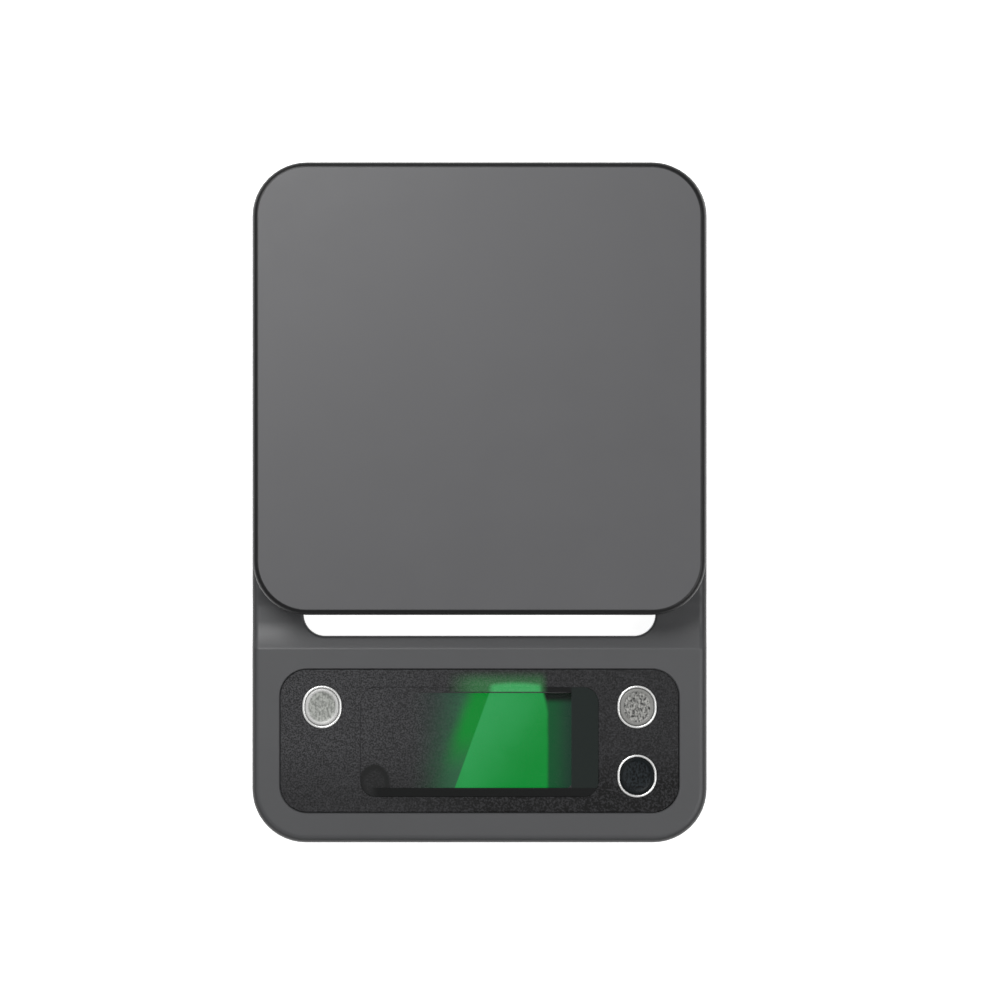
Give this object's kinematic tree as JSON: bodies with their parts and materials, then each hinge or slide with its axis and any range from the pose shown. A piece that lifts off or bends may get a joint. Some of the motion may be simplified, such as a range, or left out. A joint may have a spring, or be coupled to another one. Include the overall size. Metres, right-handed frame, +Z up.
{
  "type": "digital gram scale",
  "caption": "Slim digital gram scale with a square sprung weighing platform, a hanging slot and a control panel with a green-lit display and push buttons.",
  "frame": {"origin": "middle of the object's footprint, on the plane of the feet", "axes": "+Z up, +Y towards the platform end, -Y towards the control panel, +X to the right as seen from the control panel"},
  "size_m": [0.127, 0.19, 0.028],
  "materials": {
    "shell_plastic": "fine matt moulded texture",
    "platform_plastic": "satin, very fine texture",
    "panel_plastic": "coarse grained black",
    "door_plastic": "coarse grained grey",
    "bracket_plastic": "plain moulded black",
    "foot_rubber": "grained rubber",
    "pad_silicone": "soft silicone",
    "button_silver": "worn satin silver",
    "button_grey": "textured grey",
    "button_black": "semi-gloss black",
    "ring_chrome": "bright plated rim",
    "window_acrylic": "smoked clear acrylic",
    "lcd_glass": "liquid crystal glass",
    "backlight": "lit green diffuser",
    "steel": "plated steel",
    "contact_nickel": "nickel-plated spring steel",
    "aluminium": "milled aluminium",
    "silicone": "white potting silicone",
    "board": "green solder mask",
    "black_part": "black moulding",
    "component": "chip parts with tinned ends",
    "connector": "off-white nylon",
    "battery_wrap": "plain printed wrap, bare ends",
    "lead_red": "wire insulation",
    "lead_grey": "cable sheath",
    "zebra": "layered conductive rubber"
  },
  "bodies": {
    "base": {"lower_shell": "shell_plastic", "upper_shell": "shell_plastic", "foot_front_left": "foot_rubber", "foot_front_right": "foot_rubber", "foot_rear_left": "foot_rubber", "foot_rear_right": "foot_rubber", "shell_screws": "steel", "battery_rear": "battery_wrap", "battery_front": "battery_wrap", "contact_bridge": "contact_nickel", "contact_positive": "contact_nickel", "contact_negative": "contact_nickel", "contact_springs": "contact_nickel", "load_cell": "aluminium", "load_cell_potting": "silicone", "load_cell_spacer": "steel", "load_cell_base_screws": "steel", "control_panel": "panel_plastic", "display_window": "window_acrylic", "display_gasket": "pad_silicone", "lcd_glass": "lcd_glass", "lcd_backlight": "backlight", "backlight_led": "connector", "lcd_frame": "black_part", "zebra_strips": "zebra", "main_board": "board", "board_screws": "steel", "chip_cover": "black_part", "board_components": "component", "buzzer": "black_part", "sensor_connector": "connector", "battery_connector": "connector", "timer_button_ring": "ring_chrome", "mode_button_ring": "ring_chrome", "tare_button_ring": "ring_chrome", "timer_switch": "steel", "mode_switch": "steel", "tare_switch": "steel", "unit_switch": "steel", "sensor_lead": "lead_grey", "battery_lead": "lead_red"},
    "platform": {"platform_cover": "platform_plastic", "platform_bracket": "bracket_plastic", "platform_pads": "pad_silicone", "platform_screws": "steel", "platform_spacer": "steel"},
    "timer": {"timer_button": "button_silver", "timer_plunger": "black_part"},
    "mode": {"mode_button": "button_grey", "mode_plunger": "black_part"},
    "tare": {"tare_button": "button_black", "tare_plunger": "black_part"},
    "unit": {"unit_button": "shell_plastic", "unit_plunger": "black_part"},
    "door": {"battery_door": "door_plastic"}
  },
  "joints": [
    {"name": "platform_press", "type": "slide", "parent": "base", "child": "platform", "axis": [0, 0, 1], "range_m": [-0.0006, 0], "stiffness_N_per_m": 49000, "deforming": ["load_cell", "load_cell_potting"]},
    {"name": "timer_press", "type": "slide", "parent": "base", "child": "timer", "axis": [0, 0, -1], "range_m": [0, 0.0005], "stiffness_N_per_m": 4000},
    {"name": "mode_press", "type": "slide", "parent": "base", "child": "mode", "axis": [0, 0, -1], "range_m": [0, 0.0005], "stiffness_N_per_m": 4000},
    {"name": "tare_press", "type": "slide", "parent": "base", "child": "tare", "axis": [0, 0, -1], "range_m": [0, 0.0005], "stiffness_N_per_m": 4000},
    {"name": "unit_press", "type": "slide", "parent": "base", "child": "unit", "axis": [0, 0, 1], "range_m": [0, 0.0004], "stiffness_N_per_m": 4000},
    {"name": "battery_door_hinge", "type": "hinge", "parent": "base", "child": "door", "pos_m": [-0.0143, 0.0774, 0.0022], "axis": [-1, 0, 0], "range_deg": [0, 100]}
  ]
}
